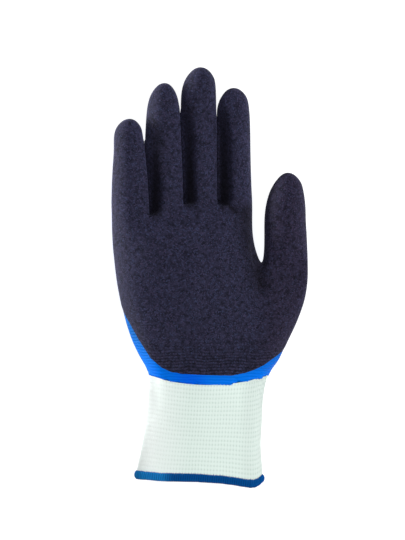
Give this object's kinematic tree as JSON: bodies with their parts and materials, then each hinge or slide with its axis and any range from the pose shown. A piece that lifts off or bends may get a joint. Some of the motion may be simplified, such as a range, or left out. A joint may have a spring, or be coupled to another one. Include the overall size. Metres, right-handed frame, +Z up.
{
  "type": "assembly glove",
  "caption": "Right-hand knitted work glove, smooth blue coat all over, dark sandy grip coat on palm and fingertips, plain knitted cuff with an overlocked hem, lying palm up.",
  "frame": {"origin": "on the surface that the glove lies on, under the middle of its outline seen from above", "axes": "+Y along the glove from the cuff to the fingertips, +X across it to the thumb's side, +Z up out of the palm"},
  "size_m": [0.1212, 0.2598, 0.0337],
  "materials": {
    "knit": "white seamless polyamide knit",
    "flat_coat": "smooth satin nitrile",
    "grip_coat": "matt sandy foam nitrile",
    "hem": "overlocked polyester thread"
  },
  "bodies": {
    "root": {"knit_cuff": "knit", "knit_liner": "knit", "flat_coat": "flat_coat", "grip_coat": "grip_coat", "cuff_hem": "hem"}
  },
  "joints": []
}
